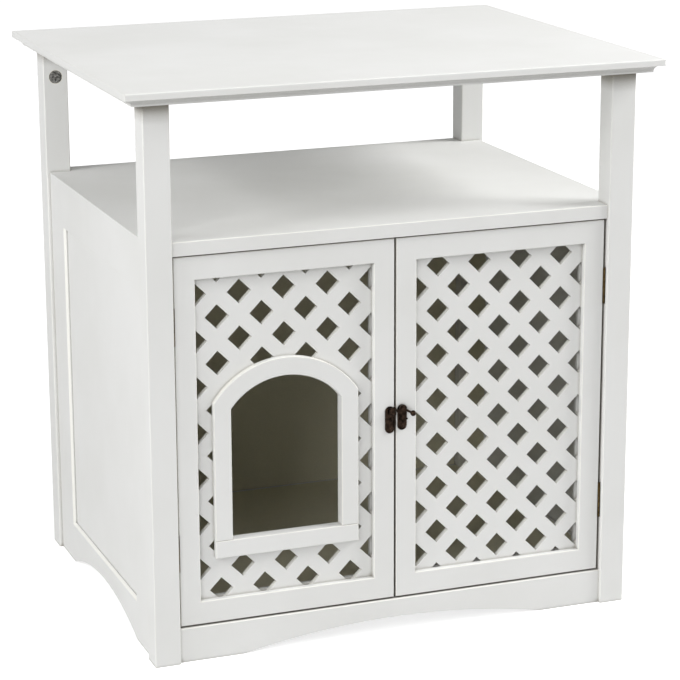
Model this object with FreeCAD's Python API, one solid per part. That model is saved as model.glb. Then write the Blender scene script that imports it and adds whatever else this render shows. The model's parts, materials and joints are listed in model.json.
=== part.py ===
import FreeCAD, Part
import math
import os

# Cat litter box cabinet: a table top on four legs, an open shelf space, and
# below it a cupboard with two lattice doors, the left one with a cat entry.
# Millimetres. +Z is up, +X is to the right seen from the front and the front
# faces -Y. The origin is on the floor, under the middle of the table top.

V = FreeCAD.Vector

# ---- Driving sizes: overall ------------------------------------------------
overall_height = 620.0
top_width = 600.0
top_depth = 475.0
board = 15.0                  # thickness of the top, shelf, floor, apron and rail boards

# ---- Table top moulding ----------------------------------------------------
top_band = 7.2                # height of the upright band round the edge
top_step = 4.5                # flat return under the band
top_inset = 10.0              # how far the foot of the cove stands in from the band
top_round = 1.6               # rounding of the upper edges

# ---- Legs ------------------------------------------------------------------
leg_side = 28.5               # legs are square
leg_round = 1.3
overhang_side = 24.0          # table top past the legs, left and right
overhang_front = 22.0
overhang_back = 20.0
leg_proud = 4.0               # legs stand this far proud of what is between them

# ---- Shelf, floor, apron and back ------------------------------------------
shelf_height = 460.0          # upper face of the shelf
shelf_round = 1.2
apron_height = 38.3
apron_recess = 4.5            # apron behind the front of the legs
apron_arch_width = 350.0
apron_arch_rise = 17.5
apron_round = 1.2
back_thickness = 5.0          # loose back panel, slid into grooves
back_inset = 9.0              # from the back of the legs to the groove
back_groove_depth = 6.0
groove_play = 0.2             # play on each face of a loose panel
stop_width = 400.0            # batten that the doors close against
stop_height = 15.0
stop_depth = 15.0
stop_play = 0.3               # batten to the closed doors

# ---- Side frames -----------------------------------------------------------
side_thickness = 15.0
side_stile = 56.0
side_top_rail = 42.0
side_bottom_rail = 48.0
side_arch_rise = 24.0
side_panel_thickness = 6.0
side_panel_recess = 4.0       # panel behind the outer face of its frame
side_groove_depth = 6.0
side_bevel = 2.5

# ---- Doors -----------------------------------------------------------------
door_thickness = 18.0
door_recess = 6.5             # doors behind the front of the legs
door_gap_side = 2.1
door_gap_middle = 2.4
door_gap_top = 1.5
door_gap_bottom = 1.7
door_stile = 23.1
door_rail = 25.4
door_round = 1.1
door_bevel = 0.8
door_groove_depth = 5.0
joint_play = 0.1              # play of tongues and fixed panels in their grooves

# ---- Lattice ---------------------------------------------------------------
lattice_thickness = 6.0
lattice_recess = 7.0          # lattice behind the face of the door
lattice_columns = 4           # cells across a door window
lattice_rise = 50.2           # height of a cell
lattice_opening = 18.9        # side of one square opening, set on its corner
left_lattice_pitch = 49.1     # width of a cell
right_lattice_pitch = 48.3
right_lattice_shift = 1.2     # middle of the window to the middle of its lattice
left_lattice_drop = 17.8      # window top to the first row that has the outer columns
right_lattice_drop = 9.3      # window top to the first row between them

# ---- Cat entry surround ----------------------------------------------------
entry_width = 124.0
entry_sill_height = 130.5     # floor to the lip of the entry
entry_side_height = 144.5     # lip to the spring of the arch
entry_rise = 31.0
entry_jamb = 19.0
entry_head = 20.0
entry_sill = 19.5
entry_joint_drop = 4.0        # joint of head and jambs below the spring
entry_round = 1.1
entry_land = 16.0             # solid border left in the lattice round the entry

# ---- Butt hinges -----------------------------------------------------------
hinge_length = 38.0
hinge_from_top = 74.0         # door top to the middle of the upper hinge
hinge_from_bottom = 82.0
leaf_thickness = 0.9
leaf_depth = 16.0             # pin axis to the back edge of a leaf
knuckles = 3
knuckle_radius = 1.45
knuckle_gap = 0.3
pin_radius = 0.8
pin_play = 0.05
pin_head_radius = 1.3
pin_head = 0.8
barrel_play = 0.35            # barrel to the wood that is hollowed for it
hinge_screw_head = 2.2        # radius
hinge_screw_radius = 1.2
hinge_screw_length = 11.0
hinge_screw_spread = 21.0
hinge_screw_back = 10.0       # pin axis to the screws
pilot_play = 0.05

# ---- Latch -----------------------------------------------------------------
latch_height = 243.9          # floor to the middle of the catch plate
plate_width = 10.6
plate_height = 30.0
plate_thickness = 1.2
latch_plate_height = 28.5     # the latch plate is a little shorter than the catch plate
latch_plate_rise = 1.7        # and its middle a little higher
catch_plate_offset = 0.1      # edge of the left door to its plate
latch_plate_offset = 1.1      # edge of the right door to its plate
catch_width = 7.4
catch_height = 8.0
catch_rise = 3.4
catch_slot = 3.6
catch_screws_aside = 1.4      # middle of the catch plate to its screws
catch_screw_high = 0.8        # middle of the catch plate down to its screws
catch_screw_low = 9.8
latch_block_width = 6.6       # raised block on the latch plate, below the lever
latch_block_height = 9.0
latch_block_drop = 6.8        # pivot to the top of the block
latch_block_rise = 1.0
nub_radius = 0.9
nub_reach = 6.3               # middle of the latch plate to the end of the nub
nub_drop = 12.6               # pivot to the nub
latch_screw_drop = 20.0       # pivot to the screw of the latch plate
lever_pivot_rise = 12.1       # middle of the catch plate to the pivot
lever_hub_radius = 4.3
lever_thickness = 2.6
lever_bar = 3.2
lever_drop = 2.2              # middle of the bar below the pivot
lever_tip_gap = 0.8           # tip of the lever to the catch
lever_play = 0.3              # lever to the plate behind it and the rivet head
ball_radius = 3.2
ball_reach = 10.9
ball_drop = 5.9
arm_radius = 1.3
arm_root = 1.7                # pivot to where the arm starts inside the hub
rivet_radius = 1.4
rivet_head_radius = 2.3
rivet_head = 0.8
plate_screw_head = 2.0        # radius
plate_screw_dome = 1.0
plate_screw_radius = 1.1
plate_screw_length = 9.0

# ---- Knock-down fittings ---------------------------------------------------
cam_radius = 7.5
cam_depth = 12.4
cam_setback = 34.0            # joint face to the middle of the cam
cam_bolt_depth = 7.5          # face of the cam to the axis of its bolt
cam_play = 0.1
cam_cross = 9.0               # length of the slots of the cross recess
cam_cross_width = 1.9
cam_cross_depth = 2.2
bolt_radius = 3.0
bolt_reach = 11.0             # length of the bolt past the joint face
bolt_play = 0.1
dowel_radius = 3.0
dowel_half = 12.0             # half of a dowel's length
dowel_play = 0.05
dowel_from_cam = 18.0         # cam face to the dowels in the legs
rail_cam_height = 13.0
rail_dowel_height = 26.0
shelf_bolt_inset = 6.0        # inner face of a leg to the shelf's bolts
floor_bolt_spread = 240.0
side_dowel_low = 100.0
side_dowel_high = 350.0
stop_screw_spread = 300.0
stop_screw_radius = 1.8
stop_screw_head = 3.5         # radius
stop_screw_length = 24.0

# ---- Places that follow from the sizes -------------------------------------
leg_top = overall_height - board
leg_outer_x = top_width / 2 - overhang_side
leg_inner_x = leg_outer_x - leg_side
leg_front_y = -top_depth / 2 + overhang_front
leg_back_y = top_depth / 2 - overhang_back
front_leg_inner_y = leg_front_y + leg_side
back_leg_inner_y = leg_back_y - leg_side
side_outer_x = leg_outer_x - leg_proud
side_inner_x = side_outer_x - side_thickness
shelf_under = shelf_height - board
apron_front_y = leg_front_y + apron_recess
rail_back_y = leg_back_y - leg_proud
back_panel_y = leg_back_y - back_inset - back_thickness
floor_under = apron_height - board
door_front_y = leg_front_y + door_recess
door_back_y = door_front_y + door_thickness
door_outer_x = leg_inner_x - door_gap_side
door_inner_x = door_gap_middle / 2
door_top = shelf_under - door_gap_top
door_bottom = apron_height + door_gap_bottom
window_inner_x = door_inner_x + door_stile
window_outer_x = door_outer_x - door_stile
window_middle_x = (window_inner_x + window_outer_x) / 2
window_top = door_top - door_rail
window_bottom = door_bottom + door_rail
lattice_front_y = door_front_y + lattice_recess
pin_x = leg_inner_x - door_gap_side / 2
pin_y = door_front_y          # the pins lie in the plane of the doors' faces
hinge_heights = [door_bottom + hinge_from_bottom, door_top - hinge_from_top]
plate_front_y = door_front_y - plate_thickness
catch_plate_x = -(door_inner_x + catch_plate_offset + plate_width / 2)
pivot_x = door_inner_x + latch_plate_offset + plate_width / 2
pivot_z = latch_height + lever_pivot_rise
bar_z = pivot_z - lever_drop
lever_back_y = plate_front_y - lever_play
lever_front_y = lever_back_y - lever_thickness


# ---- Plain shapes ----------------------------------------------------------
def box(x0, x1, y0, y1, z0, z1):
    """A block between two corners."""
    return Part.makeBox(x1 - x0, y1 - y0, z1 - z0, V(x0, y0, z0))


def rod(radius, start, direction, length):
    """A cylinder from a point along a direction."""
    return Part.makeCylinder(radius, length, start, direction)


def mirrored(shape):
    """The shape on the other side of the cabinet."""
    return shape.mirror(V(0, 0, 0), V(1, 0, 0))


def fused(shapes):
    """One solid from shapes that meet."""
    return shapes[0].fuse(shapes[1:]).removeSplitter()


def edges_where(shape, test):
    """The edges of a shape whose two ends and middle all pass a test."""
    found = []
    for edge in shape.Edges:
        middle = edge.valueAt((edge.FirstParameter + edge.LastParameter) / 2)
        points = [vertex.Point for vertex in edge.Vertexes] + [middle]
        if all(test(point) for point in points):
            found.append(edge)
    return found


def near(a, b):
    return abs(a - b) < 1e-4


def prism(points, y0, y1):
    """An outline of straight sides in the XZ plane, given depth along Y."""
    corners = [V(x, y0, z) for x, z in points]
    wire = Part.makePolygon(corners + corners[:1])
    return Part.Face(wire).extrude(V(0, y1 - y0, 0))


def arch_cutter(half_span, rise, y0, y1):
    """The space under a segmental arch that springs from Z = 0."""
    ends = V(-half_span, y0, 0), V(half_span, y0, 0)
    arc = Part.Arc(ends[0], V(0, y0, rise), ends[1]).toShape()
    face = Part.Face(Part.Wire([arc, Part.makeLine(ends[1], ends[0])]))
    return face.extrude(V(0, y1 - y0, 0))


def placed(shape, origin, z_axis, x_axis):
    """A shape moved from its own frame to a place given by two of its axes."""
    y_axis = z_axis.cross(x_axis)
    matrix = FreeCAD.Matrix(
        x_axis.x, y_axis.x, z_axis.x, origin.x,
        x_axis.y, y_axis.y, z_axis.y, origin.y,
        x_axis.z, y_axis.z, z_axis.z, origin.z,
        0, 0, 0, 1)
    moved = shape.copy()
    moved.Placement = FreeCAD.Placement(matrix)
    return moved


# ---- Knock-down fittings ---------------------------------------------------
def cam_lock():
    """A cam with its face at Z = 0 and its body below."""
    body = rod(cam_radius, V(0, 0, -cam_depth), V(0, 0, 1), cam_depth)
    half, side = cam_cross / 2, cam_cross_width / 2
    cross = fused([box(-half, half, -side, side, -cam_cross_depth, 0),
                   box(-side, side, -half, half, -cam_cross_depth, 0)])
    return body.cut(cross)


def cam_bolt():
    """The bolt of a cam, along +X, from the cam's side to past the joint face."""
    start = cam_radius + bolt_play
    return rod(bolt_radius, V(start, 0, -cam_bolt_depth), V(1, 0, 0),
               cam_setback + bolt_reach - start)


def cam_bores():
    """What a cam and its bolt take out of the board that holds the cam."""
    depth = cam_depth + cam_play
    seat = rod(cam_radius + cam_play, V(0, 0, -depth), V(0, 0, 1), depth)
    channel = rod(bolt_radius + bolt_play, V(0, 0, -cam_bolt_depth), V(1, 0, 0), cam_setback)
    return fused([seat, channel])


def thread_bore():
    """What the bolt takes out of the board that it is screwed into."""
    start = V(cam_setback, 0, -cam_bolt_depth)
    return rod(bolt_radius + pilot_play, start, V(1, 0, 0), bolt_reach + pilot_play)


def cam_places():
    """Each cam's joint, as its name, the middle of its face, face and bolt directions."""
    places = []
    leg_x = leg_outer_x - leg_side / 2
    cam_z = leg_top - cam_setback
    rail_x = leg_inner_x - cam_setback
    for side in (-1, 1):
        places.append(("top", V(side * leg_x, front_leg_inner_y, cam_z), V(0, 1, 0), V(0, 0, 1)))
        places.append(("top", V(side * leg_x, back_leg_inner_y, cam_z), V(0, -1, 0), V(0, 0, 1)))
        apron_face = V(side * rail_x, apron_front_y + board, rail_cam_height)
        places.append(("apron", apron_face, V(0, 1, 0), V(side, 0, 0)))
        rail_face = V(side * rail_x, rail_back_y - board, rail_cam_height)
        places.append(("back rail", rail_face, V(0, -1, 0), V(side, 0, 0)))
        for y in (front_leg_inner_y - shelf_bolt_inset, back_leg_inner_y + shelf_bolt_inset):
            places.append(("shelf", V(side * rail_x, y, shelf_under), V(0, 0, -1), V(side, 0, 0)))
        for y in (-floor_bolt_spread / 2, floor_bolt_spread / 2):
            floor_face = V(side * (side_inner_x - cam_setback), y, floor_under)
            places.append(("floor", floor_face, V(0, 0, -1), V(side, 0, 0)))
    return places


def at_cams(shape, joint=None):
    """Copies of a cam fitting's shape at every cam, or at those of one joint."""
    return [placed(shape, origin, face, bolt)
            for name, origin, face, bolt in cam_places() if joint in (None, name)]


def dowel_places():
    """The middle of each wooden dowel on its joint face, and its direction."""
    places = []
    leg_x = leg_outer_x - leg_side / 2
    for side in (-1, 1):
        places.append((V(side * leg_x, front_leg_inner_y - dowel_from_cam, leg_top), V(0, 0, 1)))
        places.append((V(side * leg_x, back_leg_inner_y + dowel_from_cam, leg_top), V(0, 0, 1)))
        apron_y = apron_front_y + board / 2
        places.append((V(side * leg_inner_x, apron_y, rail_dowel_height), V(side, 0, 0)))
        rail_y = rail_back_y - board / 2
        places.append((V(side * leg_inner_x, rail_y, rail_dowel_height), V(side, 0, 0)))
        side_x = side * (side_inner_x + side_thickness / 2)
        for z in (side_dowel_low, side_dowel_high):
            places.append((V(side_x, front_leg_inner_y, z), V(0, 1, 0)))
            places.append((V(side_x, back_leg_inner_y, z), V(0, 1, 0)))
    return places


def dowels(radius, extra):
    """All wooden dowels; a top dowel is cut short to stay inside the board."""
    rods = []
    for middle, direction in dowel_places():
        upper = board - 4.0 if direction.z > 0 else dowel_half
        start = middle - direction * (dowel_half + extra)
        rods.append(rod(radius, start, direction, dowel_half + upper + 2 * extra))
    return rods


# ---- Table top and legs ----------------------------------------------------
def moulding_profile(half):
    """Half profiles of the top's moulded lower part, as a closed outline."""
    low, high = leg_top, overall_height - top_band
    inner, outer = half - top_inset, half - top_step
    middle_drop = (high - low) * 0.30
    bow = V(inner + (outer - inner) * 0.30, 0, high - middle_drop)
    right = Part.Arc(V(inner, 0, low), bow, V(outer, 0, high)).toShape()
    left = Part.Arc(V(-outer, 0, high), V(-bow.x, 0, bow.z), V(-inner, 0, low)).toShape()
    upper = Part.makeLine(V(outer, 0, high), V(-outer, 0, high))
    lower = Part.makeLine(V(-inner, 0, low), V(inner, 0, low))
    return Part.Face(Part.Wire([right, upper, left, lower]))


def table_top():
    """A board with an upright band and a cove under it on all four sides."""
    half_x, half_y = top_width / 2, top_depth / 2
    band = box(-half_x, half_x, -half_y, half_y, overall_height - top_band, overall_height)
    corners = edges_where(band, lambda p: near(abs(p.x), half_x) and near(abs(p.y), half_y))
    rims = edges_where(band, lambda p: near(p.z, overall_height))
    band = band.makeFillet(top_round, corners + rims)
    along_y = moulding_profile(half_x).extrude(V(0, top_depth, 0))
    along_y.translate(V(0, -half_y, 0))
    along_x = moulding_profile(half_y).extrude(V(0, top_width, 0))
    along_x.translate(V(0, -half_x, 0))
    along_x.rotate(V(0, 0, 0), V(0, 0, 1), 90)
    top = fused([band, along_y.common(along_x)])
    return top.cut(at_cams(thread_bore(), "top") + dowels(dowel_radius + dowel_play, dowel_play))


def leg(side, end):
    """One square leg; side is -1 or 1 for left or right, end for front or back."""
    x0 = leg_inner_x if side > 0 else -leg_outer_x
    y0 = leg_front_y if end < 0 else back_leg_inner_y
    post = box(x0, x0 + leg_side, y0, y0 + leg_side, 0, leg_top)
    upright = [edge for edge in post.Edges if near(edge.Length, leg_top)]
    post = post.makeFillet(leg_round, upright)
    holes = at_cams(cam_bores(), "top") + at_cams(thread_bore())
    holes += dowels(dowel_radius + dowel_play, dowel_play)
    if end < 0:
        holes += hinge_wood_cuts(side, True)
    else:
        holes.append(back_panel_groove())
    return post.cut(holes)


# ---- Shelf, floor, apron, rail and back ------------------------------------
def notched_board(x, y0, y1, z0, z1):
    """A board from side to side, notched round whatever legs it meets."""
    plate = box(-x, x, y0, y1, z0, z1)
    posts = [box(side * leg_inner_x, side * top_width, y, far, z0, z1)
             if side > 0 else box(-top_width, -leg_inner_x, y, far, z0, z1)
             for side in (-1, 1)
             for y, far in ((-top_depth, front_leg_inner_y), (back_leg_inner_y, top_depth))]
    return plate.cut(posts)


def shelf_board():
    """The shelf, flush with the side frames, rounded along its front edge."""
    y0, y1 = leg_front_y + leg_proud, leg_back_y - leg_proud
    shelf = notched_board(side_outer_x, y0, y1, shelf_under, shelf_height)
    front = edges_where(shelf, lambda p: near(p.y, y0) and near(p.z, shelf_height))
    shelf = shelf.makeFillet(shelf_round, front)
    holes = at_cams(cam_bores(), "shelf") + [back_panel_groove()]
    return shelf.cut(holes + stop_screw_bores())


def floor_board():
    """The cupboard's floor, between apron and back rail."""
    y0, y1 = apron_front_y + board, rail_back_y - board
    plate = notched_board(side_inner_x, y0, y1, floor_under, apron_height)
    return plate.cut(at_cams(cam_bores(), "floor"))


def arched_rail(y0, y1):
    """A rail between two legs with a shallow arch under it."""
    rail = box(-leg_inner_x, leg_inner_x, y0, y1, 0, apron_height)
    return rail.cut(arch_cutter(apron_arch_width / 2, apron_arch_rise, y0, y1))


def front_apron():
    """The arched apron under the doors, rounded along its upper front edge."""
    apron = arched_rail(apron_front_y, apron_front_y + board)
    rim = edges_where(apron, lambda p: near(p.y, apron_front_y) and near(p.z, apron_height))
    apron = apron.makeFillet(apron_round, rim)
    return apron.cut(at_cams(cam_bores(), "apron") + dowels(dowel_radius + dowel_play, dowel_play))


def back_rail():
    """The arched rail at the back, grooved for the back panel."""
    rail = arched_rail(rail_back_y - board, rail_back_y)
    holes = at_cams(cam_bores(), "back rail") + [back_panel_groove()]
    return rail.cut(holes + dowels(dowel_radius + dowel_play, dowel_play))


def back_panel_block(play, shortfall):
    """The back panel, or its groove, reaching into legs, shelf and rail."""
    reach = back_groove_depth - shortfall
    y0, y1 = back_panel_y - play, back_panel_y + back_thickness + play
    x = leg_inner_x + reach
    return box(-x, x, y0, y1, apron_height - reach, shelf_under + reach)


def back_panel_groove():
    return back_panel_block(groove_play, 0)


def back_panel():
    return back_panel_block(0, groove_play)


def door_stop():
    """The batten under the shelf that the doors close against."""
    y0 = door_back_y + stop_play
    z0 = shelf_under - stop_height
    batten = box(-stop_width / 2, stop_width / 2, y0, y0 + stop_depth, z0, shelf_under)
    return batten.cut(stop_screw_bores())


def stop_screw(radius, head, extra):
    """A screw up through the batten, its head let in flush."""
    y = door_back_y + stop_play + stop_depth / 2
    z = shelf_under - stop_height
    flare = Part.makeCone(head, radius, head - radius, V(0, y, z), V(0, 0, 1))
    return fused([rod(radius, V(0, y, z), V(0, 0, 1), stop_screw_length + extra), flare])


def at_stop_screws(shape):
    copies = []
    for side in (-1, 1):
        copy = shape.copy()
        copy.translate(V(side * stop_screw_spread / 2, 0, 0))
        copies.append(copy)
    return copies


def stop_screw_bores():
    bore = stop_screw(stop_screw_radius + pilot_play, stop_screw_head + pilot_play, pilot_play)
    return at_stop_screws(bore)


# ---- Frames of stiles and rails round a panel ------------------------------
def framed(x0, x1, z0, z1, stile, top_rail, bottom_rail, thickness,
           panel_recess, panel_thickness, groove_depth, rounding, bevel):
    """Stiles, rails and panel block of a frame whose face is at Y = 0, facing -Y.

    The stiles are grooved from end to end, and the rails' tongues and the panel
    sit in the grooves.
    """
    in0, in1 = x0 + stile, x1 - stile
    low, high = z0 + bottom_rail, z1 - top_rail
    front, back = panel_recess, panel_recess + panel_thickness
    slot_front, slot_back = front - joint_play, back + joint_play
    tongue = groove_depth - joint_play
    stiles = [box(x0, in0, 0, thickness, z0, z1), box(in1, x1, 0, thickness, z0, z1)]
    rails = [box(in0, in1, 0, thickness, high, z1), box(in0, in1, 0, thickness, z0, low)]
    if rounding > 0:
        for number, outer in enumerate((x0, x1)):
            arris = edges_where(stiles[number], lambda p: near(p.y, 0) and (
                near(p.x, outer) or near(p.z, z0) or near(p.z, z1)))
            stiles[number] = stiles[number].makeFillet(rounding, arris)
        for number, outer in enumerate((z1, z0)):
            arris = edges_where(rails[number], lambda p: near(p.y, 0) and near(p.z, outer))
            rails[number] = rails[number].makeFillet(rounding, arris)
    for number, (bottom, top) in enumerate(((high, z1), (z0, low))):
        ends = [box(in0 - tongue, in0, front, back, bottom, top),
                box(in1, in1 + tongue, front, back, bottom, top)]
        rails[number] = fused([rails[number]] + ends)
    groove = box(in0 - groove_depth, in1 + groove_depth, slot_front, slot_back,
                 low - groove_depth, high + groove_depth)
    slot_left = box(in0 - groove_depth, in0, slot_front, slot_back, z0, z1)
    slot_right = box(in1, in1 + groove_depth, slot_front, slot_back, z0, z1)
    mitre = bevel_cutter(in0, in1, low, high, bevel)
    return {
        "left_stile": stiles[0].cut([slot_left, mitre]),
        "right_stile": stiles[1].cut([slot_right, mitre]),
        "top_rail": rails[0].cut([groove, mitre]),
        "bottom_rail": rails[1].cut([groove, mitre]),
        "panel": box(in0 - tongue, in1 + tongue, front, back, low - tongue, high + tongue),
    }


def bevel_cutter(x0, x1, z0, z1, bevel):
    """A shallow funnel that bevels the edges of a window in a face at Y = 0."""
    rings = []
    for spread, y in ((bevel, 0), (0, bevel)):
        rings.append([V(x0 - spread, y, z0 - spread), V(x1 + spread, y, z0 - spread),
                      V(x1 + spread, y, z1 + spread), V(x0 - spread, y, z1 + spread)])
    outlines = list(rings)
    for corner in range(4):
        after = (corner + 1) % 4
        outlines.append([rings[0][corner], rings[0][after], rings[1][after], rings[1][corner]])
    faces = [Part.Face(Part.makePolygon(outline + outline[:1])) for outline in outlines]
    return Part.makeSolid(Part.makeShell(faces))


def side_frame():
    """The left side's stiles, rails and panel."""
    parts = framed(-back_leg_inner_y, -front_leg_inner_y, 0, shelf_under,
                   side_stile, side_top_rail, side_bottom_rail, side_thickness,
                   side_panel_recess, side_panel_thickness, side_groove_depth, 0, side_bevel)
    middle = -(front_leg_inner_y + back_leg_inner_y) / 2
    half_span = (back_leg_inner_y - front_leg_inner_y) / 2 - side_stile
    arch = arch_cutter(half_span, side_arch_rise, 0, side_thickness)
    arch.translate(V(middle, 0, 0))
    foot = side_groove_depth
    ends = [box(middle - half_span - foot, middle - half_span, 0, side_thickness, 0, foot),
            box(middle + half_span, middle + half_span + foot, 0, side_thickness, 0, foot)]
    parts["bottom_rail"] = parts["bottom_rail"].cut([arch] + ends)
    for name in parts:
        parts[name].rotate(V(0, 0, 0), V(0, 0, 1), -90)
        parts[name].translate(V(-side_outer_x, 0, 0))
    holes = at_cams(thread_bore(), "floor") + dowels(dowel_radius + dowel_play, dowel_play)
    return {
        "back_stile": parts["left_stile"].cut(holes),
        "front_stile": parts["right_stile"].cut(holes),
        "top_rail": parts["top_rail"],
        "bottom_rail": parts["bottom_rail"].cut(holes),
        "panel": parts["panel"],
    }


# ---- Doors -----------------------------------------------------------------
def door_frame():
    """The right door's stiles, rails and a plain block for its lattice."""
    parts = framed(door_inner_x, door_outer_x, door_bottom, door_top,
                   door_stile, door_rail, door_rail, door_thickness,
                   lattice_recess, lattice_thickness, door_groove_depth, door_round, door_bevel)
    for shape in parts.values():
        shape.translate(V(0, door_front_y, 0))
    return parts


def diamonds(middle_x, first_z, pitch, first_row_outer):
    """The openings of a lattice as blocks, square and set on their corners."""
    half = lattice_opening / math.sqrt(2)
    left = middle_x - pitch * lattice_columns / 2
    y0, y1 = lattice_front_y, lattice_front_y + lattice_thickness
    blocks = []
    row = -1
    z = first_z + lattice_rise / 2
    while z > window_bottom - door_groove_depth - half:
        outer = (row % 2 == 0) == first_row_outer
        count = lattice_columns + 1 if outer else lattice_columns
        for column in range(count):
            x = left + pitch * (column if outer else column + 0.5)
            points = [(x - half, z), (x, z + half), (x + half, z), (x, z - half)]
            blocks.append(prism(points, y0, y1))
        row += 1
        z -= lattice_rise / 2
    return blocks


def entry_outline(grow_side, grow_head, grow_foot, y0, y1):
    """The arched entry as a block, grown past its sides, head and foot."""
    half = entry_width / 2
    radius = (half * half + entry_rise * entry_rise) / (2 * entry_rise)
    spring = entry_sill_height + entry_side_height
    centre = spring + entry_rise - radius
    reach = radius + grow_head
    side = half + grow_side
    shoulder = centre + math.sqrt(reach * reach - side * side)
    foot = entry_sill_height - grow_foot
    x = -window_middle_x
    left, right = V(x - side, y0, shoulder), V(x + side, y0, shoulder)
    low_left, low_right = V(x - side, y0, foot), V(x + side, y0, foot)
    arc = Part.Arc(left, V(x, y0, centre + reach), right).toShape()
    sides = [Part.makeLine(right, low_right), Part.makeLine(low_right, low_left),
             Part.makeLine(low_left, left)]
    return Part.Face(Part.Wire([arc] + sides)).extrude(V(0, y1 - y0, 0))


def lattice_panels(block):
    """The two lattices; the left one keeps a solid border round the entry."""
    y0, y1 = lattice_front_y, lattice_front_y + lattice_thickness
    right_x = window_middle_x + right_lattice_shift
    right_z = window_top - right_lattice_drop
    right = block.cut(diamonds(right_x, right_z, right_lattice_pitch, False))
    left_z = window_top - left_lattice_drop
    openings = diamonds(-window_middle_x, left_z, left_lattice_pitch, True)
    border = entry_outline(entry_land, entry_land, entry_land, y0, y1)
    clear = Part.makeCompound(openings).cut(border)
    left = mirrored(block).cut([clear, entry_outline(0, 0, 0, y0, y1)])
    return left, right


def entry_surround():
    """Arched head, two jambs and sill, applied to the face of the left lattice."""
    y0, y1 = door_front_y, lattice_front_y
    ring = entry_outline(entry_jamb, entry_head, entry_sill, y0, y1)
    ring = ring.cut(entry_outline(0, 0, 0, y0, y1))
    joint = entry_sill_height + entry_side_height - entry_joint_drop
    middle = -window_middle_x
    regions = {
        "entry_arch_head": box(-door_outer_x, 0, y0, y1, joint, door_top),
        "entry_sill": box(-door_outer_x, 0, y0, y1, door_bottom, entry_sill_height),
        "entry_left_jamb": box(-door_outer_x, middle, y0, y1, entry_sill_height, joint),
        "entry_right_jamb": box(middle, 0, y0, y1, entry_sill_height, joint),
    }

    def at_joint(point):
        beside = abs(point.x - middle) > entry_width / 2
        return near(point.z, joint) or (near(point.z, entry_sill_height) and beside)

    pieces = {}
    for name, region in regions.items():
        piece = ring.common(region).Solids[0]
        joints = edges_where(piece, at_joint)
        rims = edges_where(piece, lambda p: near(p.y, y0))
        rims = [edge for edge in rims if not any(edge.isSame(other) for other in joints)]
        pieces[name] = piece.makeFillet(entry_round, rims)
    return pieces


# ---- Hinges ----------------------------------------------------------------
def knuckle_spans():
    """Start and end of each knuckle along the pin, from the hinge's middle."""
    length = (hinge_length - knuckle_gap * (knuckles - 1)) / knuckles
    start = -hinge_length / 2
    return [(start + n * (length + knuckle_gap), start + n * (length + knuckle_gap) + length)
            for n in range(knuckles)]


def hinge_leaf(on_frame):
    """A right-hand leaf with its knuckles, the pin's axis on Z through 0."""
    face = door_gap_side / 2
    x0, x1 = (face - leaf_thickness, face) if on_frame else (-face, leaf_thickness - face)
    half = hinge_length / 2
    clear = knuckle_radius + barrel_play
    pieces = [box(x0, x1, clear, leaf_depth, -half, half)]
    hollows = []
    for number, (low, high) in enumerate(knuckle_spans()):
        if (number % 2 == 0) == on_frame:
            neck = (pin_radius + pin_play + knuckle_radius) / 2
            pieces.append(box(x0, x1, neck, clear, low, high))
            pieces.append(rod(knuckle_radius, V(0, 0, low), V(0, 0, 1), high - low))
            hollows.append(rod(pin_radius + pin_play, V(0, 0, low), V(0, 0, 1), high - low))
    for start, direction in hinge_screw_places(on_frame):
        hollows.append(countersunk(start, direction, pilot_play))
    return fused(pieces).cut(hollows)


def hinge_screw_places(on_frame):
    """Heads of a leaf's screws in the hinge's frame, and the way they go in."""
    face = door_gap_side / 2
    x = face - leaf_thickness if on_frame else leaf_thickness - face
    direction = V(1, 0, 0) if on_frame else V(-1, 0, 0)
    return [(V(x, hinge_screw_back, z), direction)
            for z in (-hinge_screw_spread / 2, hinge_screw_spread / 2)]


def countersunk(start, direction, play):
    """A flat-headed screw, or with play the hole that takes it."""
    shank = rod(hinge_screw_radius + play, start, direction, hinge_screw_length + play)
    head = Part.makeCone(hinge_screw_head + play, hinge_screw_radius + play, leaf_thickness,
                         start, direction)
    return fused([shank, head])


def hinge_pin():
    """The pin with a small head at each end, past the outer knuckles."""
    half = hinge_length / 2 + knuckle_gap
    shaft = rod(pin_radius, V(0, 0, -half), V(0, 0, 1), 2 * half)
    heads = [rod(pin_head_radius, V(0, 0, z), V(0, 0, 1), pin_head) for z in (-half - pin_head, half)]
    return fused([shaft] + heads)


def at_hinges(shape, side):
    """Copies of a right-hand hinge's shape at both hinges of one side."""
    copies = []
    for z in hinge_heights:
        copy = shape.copy()
        copy.translate(V(pin_x, pin_y, z))
        copies.append(copy if side > 0 else mirrored(copy))
    return copies


def hinge_wood_cuts(side, on_frame):
    """Hollows for the barrels and holes for the screws, in leg or stile."""
    half = hinge_length / 2 + knuckle_gap + pin_head + barrel_play
    hollow = rod(knuckle_radius + barrel_play, V(0, 0, -half), V(0, 0, 1), 2 * half)
    cuts = at_hinges(hollow, side)
    for start, direction in hinge_screw_places(on_frame):
        cuts += at_hinges(countersunk(start, direction, pilot_play), side)
    return cuts


def hinge_screws(side, on_frame):
    screws = []
    for start, direction in hinge_screw_places(on_frame):
        screws += at_hinges(countersunk(start, direction, 0), side)
    return screws


# ---- Latch -----------------------------------------------------------------
def round_ended_plate(middle_x, middle_z, height):
    """A thin plate with round ends on the face of a door."""
    radius = plate_width / 2
    straight = height / 2 - radius
    start = V(middle_x, plate_front_y, middle_z)
    pieces = [box(middle_x - radius, middle_x + radius, plate_front_y, door_front_y,
                  middle_z - straight, middle_z + straight)]
    for z in (-straight, straight):
        pieces.append(rod(radius, start + V(0, 0, z), V(0, 1, 0), plate_thickness))
    return fused(pieces)


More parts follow.
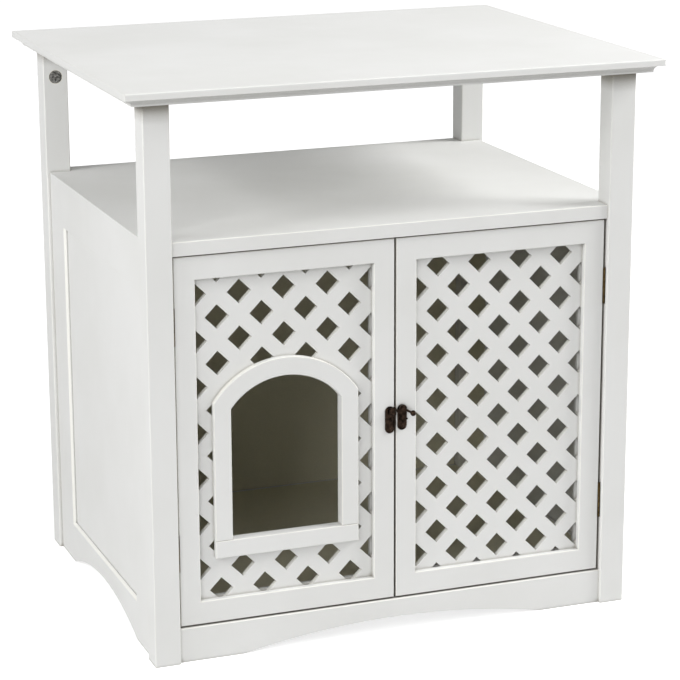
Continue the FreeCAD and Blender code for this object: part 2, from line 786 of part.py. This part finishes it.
def raised_block(x0, x1, z0, z1, rise):
    """A block on the face of a latch plate, bevelled all round its front."""
    front = plate_front_y - rise
    block = box(x0, x1, front, plate_front_y, z0, z1)
    return block.makeChamfer(rise / 4, edges_where(block, lambda p: near(p.y, front)))


def plate_screw(x, z, play):
    """A dome-headed screw through a latch plate, or with play its hole."""
    start = V(x, plate_front_y, z)
    shank = rod(plate_screw_radius + play, start, V(0, 1, 0), plate_screw_length + play)
    if play > 0:
        return shank
    rim, crown = plate_screw_head, plate_screw_dome
    radius = (rim * rim + crown * crown) / (2 * crown)
    ball = Part.makeSphere(radius, V(x, plate_front_y - crown + radius, z))
    cap = ball.common(box(x - rim, x + rim, plate_front_y - crown, plate_front_y, z - rim, z + rim))
    return fused([shank, cap])


def catch_screws(play):
    """Both screws of the catch plate, or with play their holes."""
    x = catch_plate_x + catch_screws_aside
    return [plate_screw(x, latch_height - drop, play) for drop in (catch_screw_high, catch_screw_low)]


def latch_screw(play):
    return plate_screw(pivot_x, pivot_z - latch_screw_drop, play)


def catch_plate():
    """The left door's plate with its raised catch, slotted for the lever's bar."""
    edge = -lever_tip_gap
    z0, z1 = bar_z - catch_height / 2, bar_z + catch_height / 2
    raised = raised_block(edge - catch_width, edge, z0, z1, catch_rise)
    slot = box(edge - catch_width / 2, edge, lever_front_y, lever_back_y,
               bar_z - catch_slot / 2, z1)
    plate = round_ended_plate(catch_plate_x, latch_height, plate_height)
    return fused([plate, raised]).cut([slot] + catch_screws(pilot_play))


def latch_plate():
    """The right door's plate, with a raised block below the lever and a nub at its side."""
    plate = round_ended_plate(pivot_x, latch_height + latch_plate_rise, latch_plate_height)
    half, top = latch_block_width / 2, pivot_z - latch_block_drop
    block = raised_block(pivot_x - half, pivot_x + half, top - latch_block_height, top,
                         latch_block_rise)
    nub = rod(nub_radius, V(pivot_x, plate_front_y, pivot_z - nub_drop), V(1, 0, 0), nub_reach)
    hole = rod(rivet_radius + pin_play, V(pivot_x, plate_front_y, pivot_z), V(0, 1, 0), plate_thickness)
    return fused([plate, block, nub]).cut([hole, latch_screw(pilot_play)])


def latch_lever():
    """Hub, bar that ends in the middle of the door gap, and an arm with a ball."""
    pivot = V(pivot_x, lever_front_y, pivot_z)
    hub = rod(lever_hub_radius, pivot, V(0, 1, 0), lever_thickness)
    bar = box(0, pivot_x, lever_front_y, lever_back_y, bar_z - lever_bar / 2, bar_z + lever_bar / 2)
    bar = bar.common(rod(pivot_x, pivot, V(0, 1, 0), lever_thickness))
    ball_y = plate_front_y - latch_block_rise - lever_play - ball_radius
    ball_at = V(pivot_x + ball_reach, ball_y, pivot_z - ball_drop)
    middle = V(pivot_x, (lever_front_y + lever_back_y) / 2, pivot_z)
    level = V(ball_reach, 0, -ball_drop).normalize()
    root = middle + level * arm_root
    way = ball_at - root
    solid = fused([hub, bar, rod(arm_radius, root, way, way.Length), Part.makeSphere(ball_radius, ball_at)])
    bore = rod(rivet_radius + pin_play, pivot - V(0, ball_radius, 0), V(0, 1, 0),
               lever_thickness + ball_radius)
    return solid.cut(bore)


def latch_rivet():
    """The lever's pivot: a shaft through the plate with a flat head."""
    shaft_front = lever_front_y - lever_play
    shaft = rod(rivet_radius, V(pivot_x, shaft_front, pivot_z), V(0, 1, 0), door_front_y - shaft_front)
    head = rod(rivet_head_radius, V(pivot_x, shaft_front - rivet_head, pivot_z), V(0, 1, 0), rivet_head)
    return fused([shaft, head])


# ---- The whole cabinet -----------------------------------------------------
def carcass_nodes():
    nodes = {"table_top": table_top(), "shelf_board": shelf_board(), "floor_board": floor_board(),
             "front_apron": front_apron(), "back_rail": back_rail(), "back_panel": back_panel(),
             "door_stop": door_stop()}
    for side, side_name in ((-1, "left"), (1, "right")):
        for end, end_name in ((-1, "front"), (1, "back")):
            nodes[end_name + "_" + side_name + "_leg"] = leg(side, end)
    for name, shape in side_frame().items():
        nodes["left_side_" + name] = shape
        nodes["right_side_" + name] = mirrored(shape)
    nodes["cam_locks"] = at_cams(cam_lock())
    nodes["cam_bolts"] = at_cams(cam_bolt())
    nodes["wood_dowels"] = dowels(dowel_radius, 0)
    nodes["door_stop_screws"] = at_stop_screws(stop_screw(stop_screw_radius, stop_screw_head, 0))
    return nodes


def hinge_nodes():
    nodes = {"frame_hinge_leaves": [], "hinge_pins": [], "frame_hinge_screws": []}
    for side, name in ((-1, "left"), (1, "right")):
        nodes["frame_hinge_leaves"] += at_hinges(hinge_leaf(True), side)
        nodes["hinge_pins"] += at_hinges(hinge_pin(), side)
        nodes["frame_hinge_screws"] += hinge_screws(side, True)
        nodes[name + "_door_hinge_leaves"] = at_hinges(hinge_leaf(False), side)
        nodes[name + "_door_hinge_screws"] = hinge_screws(side, False)
    return nodes


def door_nodes():
    nodes = {}
    parts = door_frame()
    left_lattice, right_lattice = lattice_panels(parts.pop("panel"))
    screw_holes = {"left": catch_screws(pilot_play), "right": [latch_screw(pilot_play)]}
    for side, name in ((-1, "left"), (1, "right")):
        shapes = {part: shape if side > 0 else mirrored(shape) for part, shape in parts.items()}
        hinge_stile = shapes["right_stile"].cut(hinge_wood_cuts(side, False))
        nodes[name + "_door_hinge_stile"] = hinge_stile
        nodes[name + "_door_meeting_stile"] = shapes["left_stile"].cut(screw_holes[name])
        nodes[name + "_door_top_rail"] = shapes["top_rail"]
        nodes[name + "_door_bottom_rail"] = shapes["bottom_rail"]
    nodes["left_door_lattice"] = left_lattice
    nodes["right_door_lattice"] = right_lattice
    nodes.update(entry_surround())
    return nodes


def latch_nodes():
    return {
        "catch_plate": catch_plate(),
        "catch_plate_screws": catch_screws(0),
        "latch_plate": latch_plate(),
        "latch_plate_screw": [latch_screw(0)],
        "latch_rivet": latch_rivet(),
        "latch_lever": latch_lever(),
    }


os.makedirs("parts", exist_ok=True)
for build in (carcass_nodes, hinge_nodes, door_nodes, latch_nodes):
    for node, content in build().items():
        if isinstance(content, list):
            content = Part.makeCompound(content)
        content.exportStep("parts/" + node + ".step")
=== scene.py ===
import bpy
import json
import math
from mathutils import Matrix, Vector


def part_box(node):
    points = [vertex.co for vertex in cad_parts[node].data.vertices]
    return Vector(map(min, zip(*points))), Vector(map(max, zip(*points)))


# Cat litter box cabinet, in metres. +Z is up and the doors face -Y. Every visible
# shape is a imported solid. This script gives the solids their finishes, and sets up
# the camera, the floor and the light.
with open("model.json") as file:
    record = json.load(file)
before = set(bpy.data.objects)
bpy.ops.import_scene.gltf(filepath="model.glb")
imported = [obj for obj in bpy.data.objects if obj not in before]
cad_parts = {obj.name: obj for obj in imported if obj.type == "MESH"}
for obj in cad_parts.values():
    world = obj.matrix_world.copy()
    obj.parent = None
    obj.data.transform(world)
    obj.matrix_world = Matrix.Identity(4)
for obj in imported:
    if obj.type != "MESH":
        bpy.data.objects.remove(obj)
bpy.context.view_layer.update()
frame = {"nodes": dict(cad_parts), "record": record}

# ---- Camera: where the photograph was taken from ---------------------------
IMAGE_SIDE = 680                      # pixels
FOCAL_PIXELS = 2490.4
SENSOR_MM = 36.0
CAMERA_PLACE = Vector((-0.9572, -2.5877, 1.0317))
CAMERA_YAW = math.radians(20.60)      # to the right of +Y
CAMERA_PITCH = math.radians(15.26)    # below level
CAMERA_ROLL = math.radians(-0.25)
CLIP_NEAR, CLIP_FAR = 0.05, 60.0

# ---- Places taken from the frame -------------------------------------------
LEG_LOW, LEG_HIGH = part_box("back_right_leg")
FRONT_LEG_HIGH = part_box("front_right_leg")[1]
PANEL_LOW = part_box("back_panel")[0]
SHELF_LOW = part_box("shelf_board")[0]
FLOOR_LOW, FLOOR_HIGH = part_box("floor_board")
SIDE_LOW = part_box("right_side_front_stile")[0]
CAMS_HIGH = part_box("cam_locks")[1]
CAM_RADIUS = 0.0075
RIM_WIDTH = 0.0005              # raw board round a cam, where the paint is broken
ON_FACE = 0.0002                # a point this near to a face counts as on it

# ---- Colours, linear -------------------------------------------------------
PAINT = (0.80, 0.80, 0.785)
PAINT_SHADE = (0.765, 0.765, 0.745)
# painted highlight: lighter, warmer paint where rounded edges catch the light
PAINT_EDGE_HIGHLIGHT = (0.90, 0.885, 0.83)
# painted shade in joints, gaps, the cove under the table top and the tops of the legs
PAINT_CREVICE_SHADE = (0.27, 0.25, 0.21)
BARE_BOARD = (0.78, 0.75, 0.60)
BARE_FIBRE = (0.71, 0.68, 0.53)
RAW_RIM = (0.84, 0.80, 0.68)
BEECH = (0.52, 0.36, 0.20)
BEECH_SHADE = (0.39, 0.27, 0.15)
ZINC = (0.30, 0.295, 0.28)
ZINC_SHADE = (0.030, 0.030, 0.027)
STEEL = (0.55, 0.55, 0.56)
STEEL_SHADE = (0.40, 0.40, 0.42)
# brass colour lowered as painted shade, for the hinges deep in the door gaps
BRASS = (0.105, 0.072, 0.030)
BRASS_SHADE = (0.030, 0.020, 0.009)
BRONZE = (0.005, 0.0035, 0.0025)
BRONZE_RUBBED = (0.038, 0.024, 0.017)

# ---- Grain, in features per metre ------------------------------------------
PAINT_CLOUDS = 7.0
PAINT_SHEEN = 45.0
PAINT_WAVES = 60.0
ORANGE_PEEL = 850.0
SAWN_FIBRES = 1600.0
BOARD_FELT = 900.0
BOARD_CLOUDS = 24.0
BEECH_GRAIN = 300.0
METAL_GLOSS, METAL_GRAIN = 2.5, 5.0      # times as fine as the metal's two tones
MOST = (0.35, 0.65)             # most of a noise's values lie in this range,
NEARLY_ALL = (0.3, 0.7)         # and nearly all of them in this one
FINE_RELIEF = 0.0002            # height of peel, fibres and metal grain
WAVE_RELIEF = 0.0006            # height of the long waves in paint

# ---- Gloss, painted edge highlights and painted shade ----------------------
PAINT_GLOSSIEST, PAINT_DULLEST = 0.64, 0.76
BARE_ROUGHNESS = 0.85
BEECH_ROUGHNESS = 0.6
POLISHED, TARNISHED = 0.75, 1.3       # shares of a metal's roughness
BOARD_HIGHLIGHT, LEG_HIGHLIGHT, TOP_HIGHLIGHT = 0.7, 0.3, 0.15    # how strong the painted highlight on rounded edges is
NARROW, WIDE = 0.006, 0.022           # how far out of a joint its painted shade reaches
LEG_SHADE_START, LEG_SHADE_FULL = 1.6 * WIDE, WIDE      # below the table top
# The open share of what is round a surface, where its painted shade starts and is full:
JOINT_OPEN = (0.78, 0.15)
COVE_OPEN = (0.97, 0.40)
LEG_TOP_OPEN = (0.97, 0.68)

# ---- Which way faces look, as shares of one axis, from one kind to the other
FLAT_TO_ROUNDED = (0.995, 0.93)
UNDER_TO_UPRIGHT = (-0.3, -0.1)
UPRIGHT_TO_COVE = (-0.05, -0.25)
FRONT_TO_SAWN_WALL = (0.75, 0.35)

# ---- Studio ----------------------------------------------------------------
DOME_TINT = (0.985, 0.995, 1.0)
DOME_STRENGTH = 0.15
FLOOR_SIDE = 24.0
FLOOR_DROP = 0.0002                  # the floor lies this far under the feet
FLOOR_WHITE = (0.62, 0.62, 0.62)
FLOOR_DIM = (0.40, 0.40, 0.40)       # far floor as it lights the part
GLOW_NEAR, GLOW_FAR = 0.74, 1.00     # added for the camera, to fade the floor to white
FLOOR_NEAR, FLOOR_FAR = 0.60, 1.60   # from the middle of the part
LAMP_AIM = Vector((0, 0, 0.30))
WHITE = (1, 1, 1)


# ---- Node helpers ----------------------------------------------------------
class Shader:
    """A node material under construction."""

    def __init__(self, name):
        self.material = bpy.data.materials.new(name)
        self.material.use_nodes = True
        self.tree = self.material.node_tree
        self.bsdf = self.tree.nodes["Principled BSDF"]
        self.place = self.node("ShaderNodeTexCoord").outputs["Object"]

    def node(self, kind, **settings):
        made = self.tree.nodes.new(kind)
        for name, value in settings.items():
            setattr(made, name, value)
        return made

    def link(self, source, target):
        self.tree.links.new(source, target)

    def feed(self, socket, value):
        """Sets a socket to a number or colour, or links an output to it."""
        if isinstance(value, bpy.types.NodeSocket):
            self.link(value, socket)
        elif socket.type == "RGBA":
            socket.default_value = (*value, 1.0)
        else:
            socket.default_value = value

    def noise(self, scale, detail, rough=0.5, stretch=(1, 1, 1)):
        """Noise of so many features per metre, squeezed or drawn out along the axes."""
        mapping = self.node("ShaderNodeMapping")
        mapping.inputs["Scale"].default_value = stretch
        self.link(self.place, mapping.inputs["Vector"])
        noise = self.node("ShaderNodeTexNoise")
        self.link(mapping.outputs["Vector"], noise.inputs["Vector"])
        noise.inputs["Scale"].default_value = scale
        noise.inputs["Detail"].default_value = detail
        noise.inputs["Roughness"].default_value = rough
        return noise.outputs["Fac"]

    def span(self, value, low, high, to_low=0.0, to_high=1.0):
        """Maps a range of a value to another, without going past its ends."""
        node = self.node("ShaderNodeMapRange")
        self.link(value, node.inputs["Value"])
        for name, number in (("From Min", low), ("From Max", high),
                             ("To Min", to_low), ("To Max", to_high)):
            node.inputs[name].default_value = number
        return node.outputs["Result"]

    def math(self, operation, first, second=0.0):
        node = self.node("ShaderNodeMath", operation=operation)
        self.feed(node.inputs[0], first)
        self.feed(node.inputs[1], second)
        return node.outputs["Value"]

    def mix(self, amount, first, second, kind="RGBA"):
        """Goes from the first colour, number or vector to the second."""
        node = self.node("ShaderNodeMix", data_type=kind)
        self.feed(node.inputs["Factor"], amount)
        self.feed(node.inputs["A"], first)
        self.feed(node.inputs["B"], second)
        return node.outputs["Result"]

    def axes(self):
        """The place on the object, as separate X, Y and Z."""
        return self.separate(self.place)

    def facing(self):
        """The way the surface faces, as separate X, Y and Z of the object."""
        turned = self.node("ShaderNodeVectorTransform", vector_type="NORMAL",
                           convert_from="WORLD", convert_to="OBJECT")
        self.link(self.node("ShaderNodeNewGeometry").outputs["Normal"], turned.inputs["Vector"])
        return self.separate(turned.outputs["Vector"])

    def separate(self, vector):
        node = self.node("ShaderNodeSeparateXYZ")
        self.link(vector, node.inputs["Vector"])
        return node.outputs["X"], node.outputs["Y"], node.outputs["Z"]

    def crevice_shade(self, reach, clear, full):
        """Painted shade: rises from 0 where a surface is open to the room to 1 deep in a joint
        or gap.
        """
        node = self.node("ShaderNodeAmbientOcclusion", samples=8)
        node.inputs["Distance"].default_value = reach
        return self.span(node.outputs["AO"], clear, full)

    def bump(self, height, strength, distance=FINE_RELIEF, under=None):
        """Relief, laid over any relief that is given as under."""
        node = self.node("ShaderNodeBump")
        node.inputs["Strength"].default_value = strength
        node.inputs["Distance"].default_value = distance
        self.link(height, node.inputs["Height"])
        if under is not None:
            self.link(under, node.inputs["Normal"])
        return node.outputs["Normal"]

    def finish(self, colour, roughness, normal, metallic=0.0):
        self.feed(self.bsdf.inputs["Base Color"], colour)
        self.feed(self.bsdf.inputs["Roughness"], roughness)
        self.feed(self.bsdf.inputs["Metallic"], metallic)
        self.link(normal, self.bsdf.inputs["Normal"])
        return self.material


# ---- Materials -------------------------------------------------------------
def painted_edge_highlight(shader, highlight_strength):
    """Painted highlight where a surface is rounded, unless it looks down."""
    facing = shader.facing()
    squarest = 0.0
    for part in facing:
        squarest = shader.math("MAXIMUM", shader.math("ABSOLUTE", part), squarest)
    return shader.math("MULTIPLY", shader.span(squarest, *FLAT_TO_ROUNDED, to_high=highlight_strength),
                       shader.span(facing[2], *UNDER_TO_UPRIGHT))


def paint_layers(shader, highlight_strength=BOARD_HIGHLIGHT):
    """Satin sprayed paint, with a warm painted highlight on rounded edges and painted shade in
    the joints.
    """
    clouds = shader.span(shader.noise(PAINT_CLOUDS, detail=3.0), *MOST)
    colour = shader.mix(clouds, PAINT_SHADE, PAINT)
    # painted highlight on rounded edges that face up or sideways
    colour = shader.mix(painted_edge_highlight(shader, highlight_strength), colour, PAINT_EDGE_HIGHLIGHT)
    # painted shade in joints and gaps, darkest where little of the room is open
    colour = shader.mix(shader.crevice_shade(NARROW, *JOINT_OPEN), colour, PAINT_CREVICE_SHADE)
    sheen = shader.noise(PAINT_SHEEN, detail=3.0)
    roughness = shader.span(sheen, *NEARLY_ALL, PAINT_GLOSSIEST, PAINT_DULLEST)
    peel = shader.bump(shader.noise(ORANGE_PEEL, detail=2.0), strength=0.10)
    waves = shader.bump(shader.noise(PAINT_WAVES, detail=2.0), strength=0.08,
                        distance=WAVE_RELIEF, under=peel)
    return colour, roughness, waves


def bare_layers(shader):
    """Pressed fibre board: a fine felt of short fibres in two tones."""
    felt = shader.noise(BOARD_FELT, detail=4.0, rough=0.6)
    clouds = shader.noise(BOARD_CLOUDS, detail=3.0)
    colour = shader.mix(shader.span(felt, *MOST), BARE_FIBRE, BARE_BOARD)
    colour = shader.mix(shader.span(clouds, *NEARLY_ALL, to_high=0.25), colour, BARE_FIBRE)
    return colour, shader.bump(felt, strength=0.3)


def painted_board():
    shader = Shader("painted_board")
    return shader.finish(*paint_layers(shader))


def painted_top():
    """The table top: a faint painted highlight along its edges, and painted shade in the hollow
    under them.
    """
    shader = Shader("painted_top")
    colour, roughness, normal = paint_layers(shader, TOP_HIGHLIGHT)
    # painted shadow in the cove under the table top's edge
    cove_shade = shader.math("MULTIPLY", shader.crevice_shade(WIDE, *COVE_OPEN),
                         shader.span(shader.facing()[2], *UPRIGHT_TO_COVE))
    colour = shader.mix(cove_shade, colour, PAINT_CREVICE_SHADE)
    return shader.finish(colour, roughness, normal)


def painted_lattice():
    """The same paint, with the sawn walls of the openings rougher."""
    shader = Shader("painted_lattice")
    colour, roughness, normal = paint_layers(shader)
    along_y = shader.math("ABSOLUTE", shader.facing()[1])
    wall = shader.span(along_y, *FRONT_TO_SAWN_WALL)
    grain = shader.math("MULTIPLY", wall, shader.noise(SAWN_FIBRES, detail=3.0))
    fibres = shader.bump(grain, strength=0.25, under=normal)
    return shader.finish(colour, roughness, fibres)


def in_cupboard(shader):
    """1 on the faces inside the cupboard, and 0 elsewhere."""
    x, y, z = shader.axes()
    inside = shader.math("LESS_THAN", shader.math("ABSOLUTE", x), SIDE_LOW.x + ON_FACE)
    for axis, low, high in ((z, FLOOR_HIGH.z - ON_FACE, SHELF_LOW.z + ON_FACE),
                            (y, FLOOR_LOW.y - ON_FACE, PANEL_LOW.y + ON_FACE)):
        inside = shader.math("MULTIPLY", inside, shader.math("GREATER_THAN", axis, low))
        inside = shader.math("MULTIPLY", inside, shader.math("LESS_THAN", axis, high))
    return inside


def lined_board():
    """Painted outside, with bare board on the faces inside the cupboard."""
    shader = Shader("lined_board")
    paint, paint_roughness, paint_normal = paint_layers(shader)
    bare, bare_normal = bare_layers(shader)
    inside = in_cupboard(shader)
    roughness = shader.mix(inside, paint_roughness, BARE_ROUGHNESS, "FLOAT")
    normal = shader.mix(inside, paint_normal, bare_normal, "VECTOR")
    return shader.finish(shader.mix(inside, paint, bare), roughness, normal)


def cam_rims(shader, x, y, z):
    """1 in a ring round each cam at the top of a leg, on the leg's inner face."""
    middle = (FRONT_LEG_HIGH.y + LEG_LOW.y) / 2
    from_middle = shader.math("ABSOLUTE", shader.math("SUBTRACT", y, middle))
    inner = shader.math("LESS_THAN", from_middle, LEG_LOW.y - middle + ON_FACE)
    across = shader.math("SUBTRACT", shader.math("ABSOLUTE", x), (LEG_LOW.x + LEG_HIGH.x) / 2)
    up = shader.math("SUBTRACT", z, CAMS_HIGH.z - CAM_RADIUS)
    square = shader.math("ADD", shader.math("MULTIPLY", across, across),
                         shader.math("MULTIPLY", up, up))
    edge = CAM_RADIUS + RIM_WIDTH
    rim = shader.span(shader.math("SQRT", square), edge + ON_FACE, edge - ON_FACE)
    return shader.math("MULTIPLY", rim, inner)


def leg_board():
    """Painted legs, with a painted shadow under the table top and a raw rim round each cam's
    bore.
    """
    shader = Shader("leg_board")
    colour, roughness, normal = paint_layers(shader, LEG_HIGHLIGHT)
    x, y, z = shader.axes()
    # painted shadow of the table top on the tops of the legs
    near_top = shader.span(z, LEG_HIGH.z - LEG_SHADE_START, LEG_HIGH.z - LEG_SHADE_FULL)
    leg_top_shadow = shader.math("MULTIPLY", shader.crevice_shade(WIDE, *LEG_TOP_OPEN), near_top)
    colour = shader.mix(leg_top_shadow, colour, PAINT_CREVICE_SHADE)
    colour = shader.mix(cam_rims(shader, x, y, z), colour, RAW_RIM)
    return shader.finish(colour, roughness, normal)


def bare_board():
    shader = Shader("bare_board")
    colour, normal = bare_layers(shader)
    return shader.finish(colour, BARE_ROUGHNESS, normal)


def turned_beech():
    """Beech with its grain along Z."""
    shader = Shader("turned_beech")
    grain = shader.noise(BEECH_GRAIN, detail=3.0, rough=0.6, stretch=(1.0, 1.0, 0.2))
    colour = shader.mix(shader.span(grain, *MOST), BEECH_SHADE, BEECH)
    return shader.finish(colour, BEECH_ROUGHNESS, shader.bump(grain, strength=0.3))


def metal(name, dark, light, roughness, scale, strength):
    """Metal in two tones, with finer uneven gloss and the finest grain in relief."""
    shader = Shader(name)
    clouds = shader.noise(scale, detail=4.0, rough=0.6)
    colour = shader.mix(shader.span(clouds, *MOST), dark, light)
    gloss = shader.span(shader.noise(METAL_GLOSS * scale, detail=3.0), *NEARLY_ALL,
                        POLISHED * roughness, TARNISHED * roughness)
    normal = shader.bump(shader.noise(METAL_GRAIN * scale, detail=3.0), strength)
    return shader.finish(colour, gloss, normal, metallic=1.0)


MATERIALS = {
    "painted_board": painted_board(),
    "painted_top": painted_top(),
    "painted_lattice": painted_lattice(),
    "lined_board": lined_board(),
    "leg_board": leg_board(),
    "bare_board": bare_board(),
    "turned_beech": turned_beech(),
    "cast_zinc": metal("cast_zinc", ZINC_SHADE, ZINC,
                       roughness=0.30, scale=350.0, strength=0.5),
    "plated_steel": metal("plated_steel", STEEL_SHADE, STEEL,
                          roughness=0.30, scale=400.0, strength=0.15),
    # hinge brass darkened as painted shade for the gaps it sits in
    "brass_darkened_for_shade": metal("brass_darkened_for_shade", BRASS_SHADE, BRASS,
                        roughness=0.45, scale=350.0, strength=0.2),
    "antique_bronze": metal("antique_bronze", BRONZE, BRONZE_RUBBED,
                            roughness=0.32, scale=220.0, strength=0.6),
}
MATERIAL_OF_SLOT = {
    "white_paint": "painted_board",
    "white_lattice": "painted_lattice",
    "back_board": "bare_board",
    "raw_wood": "turned_beech",
    "cam_zinc": "cast_zinc",
    "bolt_steel": "plated_steel",
    "hinge_brass": "brass_darkened_for_shade",
    "latch_bronze": "antique_bronze",
}


def material_of(name, slot):
    """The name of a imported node's material."""
    if name.endswith("_leg"):
        return "leg_board"
    if name == "table_top":
        return "painted_top"
    if "_side_" in name or name in ("shelf_board", "floor_board"):
        return "lined_board"
    return MATERIAL_OF_SLOT[slot]


def dress():
    """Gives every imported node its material, in all its slots."""
    slots = {part["node"]: part["material_slot"] for part in frame["record"]["subparts"]}
    for name, piece in frame["nodes"].items():
        for place in piece.material_slots:
            place.material = MATERIALS[material_of(name, slots[name])]


# ---- Studio ----------------------------------------------------------------
def place_in_scene(thing):
    bpy.context.scene.collection.objects.link(thing)


def seen_directly(tree):
    """1 for rays from the camera, or by way of gloss or glass."""
    rays = tree.nodes.new("ShaderNodeLightPath")
    total = rays.outputs["Is Camera Ray"]
    for name in ("Is Glossy Ray", "Is Transmission Ray"):
        node = tree.nodes.new("ShaderNodeMath")
        node.operation = "MAXIMUM"
        tree.links.new(total, node.inputs[0])
        tree.links.new(rays.outputs[name], node.inputs[1])
        total = node.outputs["Value"]
    return total


def make_world():
    """A dim dome of light on the part, which is seen as plain white."""
    world = bpy.data.worlds.new("studio")
    bpy.context.scene.world = world
    world.use_nodes = True
    tree = world.node_tree
    backdrop = tree.nodes["Background"]
    backdrop.inputs["Color"].default_value = (*WHITE, 1)
    backdrop.inputs["Strength"].default_value = 1.0
    dome = tree.nodes.new("ShaderNodeBackground")
    dome.inputs["Color"].default_value = (*DOME_TINT, 1)
    dome.inputs["Strength"].default_value = DOME_STRENGTH
    mix = tree.nodes.new("ShaderNodeMixShader")
    tree.links.new(seen_directly(tree), mix.inputs["Fac"])
    tree.links.new(dome.outputs["Background"], mix.inputs[1])
    tree.links.new(backdrop.outputs["Background"], mix.inputs[2])
    tree.links.new(mix.outputs["Shader"], tree.nodes["World Output"].inputs["Surface"])


def floor_material():
    """White that keeps the shadow near the part and glows into the backdrop further off."""
    shader = Shader("studio_floor")
    tree = shader.tree
    tree.nodes.remove(shader.bsdf)
    distance = shader.node("ShaderNodeVectorMath", operation="LENGTH")
    shader.link(shader.place, distance.inputs[0])
    away = shader.span(distance.outputs["Value"], FLOOR_NEAR, FLOOR_FAR)
    diffuse = shader.node("ShaderNodeBsdfDiffuse")
    shader.link(shader.mix(away, FLOOR_WHITE, FLOOR_DIM), diffuse.inputs["Color"])
    glow = shader.node("ShaderNodeEmission")
    shader.link(shader.span(away, 0.0, 1.0, GLOW_NEAR, GLOW_FAR), glow.inputs["Strength"])
    both = shader.node("ShaderNodeAddShader")
    shader.link(diffuse.outputs["BSDF"], both.inputs[0])
    shader.link(glow.outputs["Emission"], both.inputs[1])
    mix = shader.node("ShaderNodeMixShader")
    shader.link(seen_directly(tree), mix.inputs["Fac"])
    shader.link(diffuse.outputs["BSDF"], mix.inputs[1])
    shader.link(both.outputs["Shader"], mix.inputs[2])
    shader.link(mix.outputs["Shader"], tree.nodes["Material Output"].inputs["Surface"])
    return shader.material


def make_floor():
    mesh = bpy.data.meshes.new("studio_floor")
    half = FLOOR_SIDE / 2
    mesh.from_pydata([(-half, -half, 0), (half, -half, 0), (half, half, 0), (-half, half, 0)],
                     [], [(0, 1, 2, 3)])
    mesh.materials.append(floor_material())
    floor = bpy.data.objects.new("studio_floor", mesh)
    floor.location.z = -FLOOR_DROP
    place_in_scene(floor)


def softbox(name, place, power, width=1.6, height=1.2):
    """A rectangular area lamp of so many watts, which faces the part."""
    lamp = bpy.data.lights.new(name, "AREA")
    lamp.shape = "RECTANGLE"
    lamp.size, lamp.size_y = width, height
    lamp.energy = power
    box = bpy.data.objects.new(name, lamp)
    box.location = place
    box.rotation_mode = "QUATERNION"
    box.rotation_quaternion = (LAMP_AIM - Vector(place)).to_track_quat("-Z", "Y")
    place_in_scene(box)


def make_lamps():
    softbox("high_front", (-0.5, -2.7, 2.9), 12.0, width=2.2, height=1.6)
    softbox("left", (-2.9, -0.6, 2.0), 56.0)
    softbox("right", (2.5, -0.6, 2.1), 80.0)
    softbox("right_fore", (2.3, -1.4, 2.1), 17.0)
    softbox("front_left", (-2.2, -2.6, 1.5), 41.0, height=1.6)


def make_camera():
    data = bpy.data.cameras.new("photo_camera")
    data.sensor_width = SENSOR_MM
    data.lens = FOCAL_PIXELS / IMAGE_SIDE * SENSOR_MM
    data.clip_start, data.clip_end = CLIP_NEAR, CLIP_FAR
    yaw, pitch, roll = CAMERA_YAW, CAMERA_PITCH, CAMERA_ROLL
    ahead = Vector((math.sin(yaw) * math.cos(pitch),
                    math.cos(yaw) * math.cos(pitch), -math.sin(pitch)))
    level = Vector((math.cos(yaw), -math.sin(yaw), 0))
    above = level.cross(ahead)
    right = math.cos(roll) * level + math.sin(roll) * above
    up = right.cross(ahead)
    axes = Matrix((right, up, -ahead)).transposed()
    camera = bpy.data.objects.new("photo_camera", data)
    camera.matrix_world = Matrix.Translation(CAMERA_PLACE) @ axes.to_4x4()
    place_in_scene(camera)
    bpy.context.scene.camera = camera


dress()
make_camera()
make_world()
make_floor()
make_lamps()
bpy.context.scene.view_settings.view_transform = "Standard"
